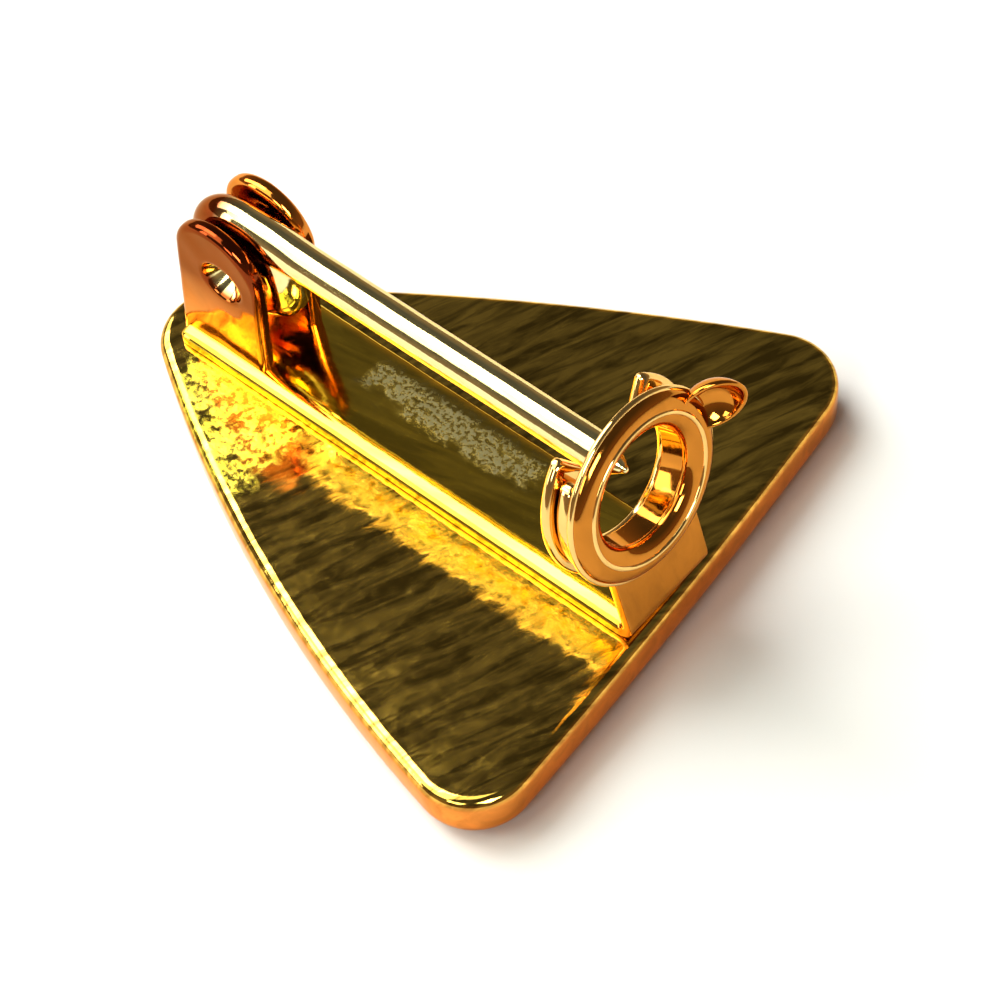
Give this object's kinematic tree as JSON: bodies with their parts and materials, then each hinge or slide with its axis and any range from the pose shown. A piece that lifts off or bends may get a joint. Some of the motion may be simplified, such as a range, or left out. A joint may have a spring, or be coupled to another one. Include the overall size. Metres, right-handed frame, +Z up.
{
  "type": "lapel pin",
  "caption": "Rounded three-cornered gilt lapel pin lying on its front, with a safety bar pin, its hinged stem and turning ring catch on the back.",
  "frame": {"origin": "on the surface that the pin lies on, below the middle of the badge's outline box", "axes": "+Z up from the badge's front to its back, +X along the bar from the hinge to the catch, +Y across the bar"},
  "size_m": [0.0168, 0.0162, 0.0087],
  "materials": {
    "gilt_badge": "polished gold plate with fine brushed waves on the back",
    "gilt_stem": "bright drawn wire, pale gold plate",
    "gilt_catch": "polished gold plate"
  },
  "bodies": {
    "badge": {"badge": "gilt_badge"},
    "pin_stem": {"pin_stem": "gilt_stem"},
    "catch_rotor": {"catch_rotor": "gilt_catch"}
  },
  "joints": [
    {"name": "stem_hinge", "type": "hinge", "parent": "badge", "child": "pin_stem", "pos_m": [-0.0055, -0.00043, 0.0052], "axis": [0, -1, 0], "range_deg": [0, 105]},
    {"name": "catch_turn", "type": "hinge", "parent": "badge", "child": "catch_rotor", "pos_m": [0.00743, -0.00043, 0.0062], "axis": [0.9781, 0, 0.2079], "range_deg": [0, 110]}
  ]
}
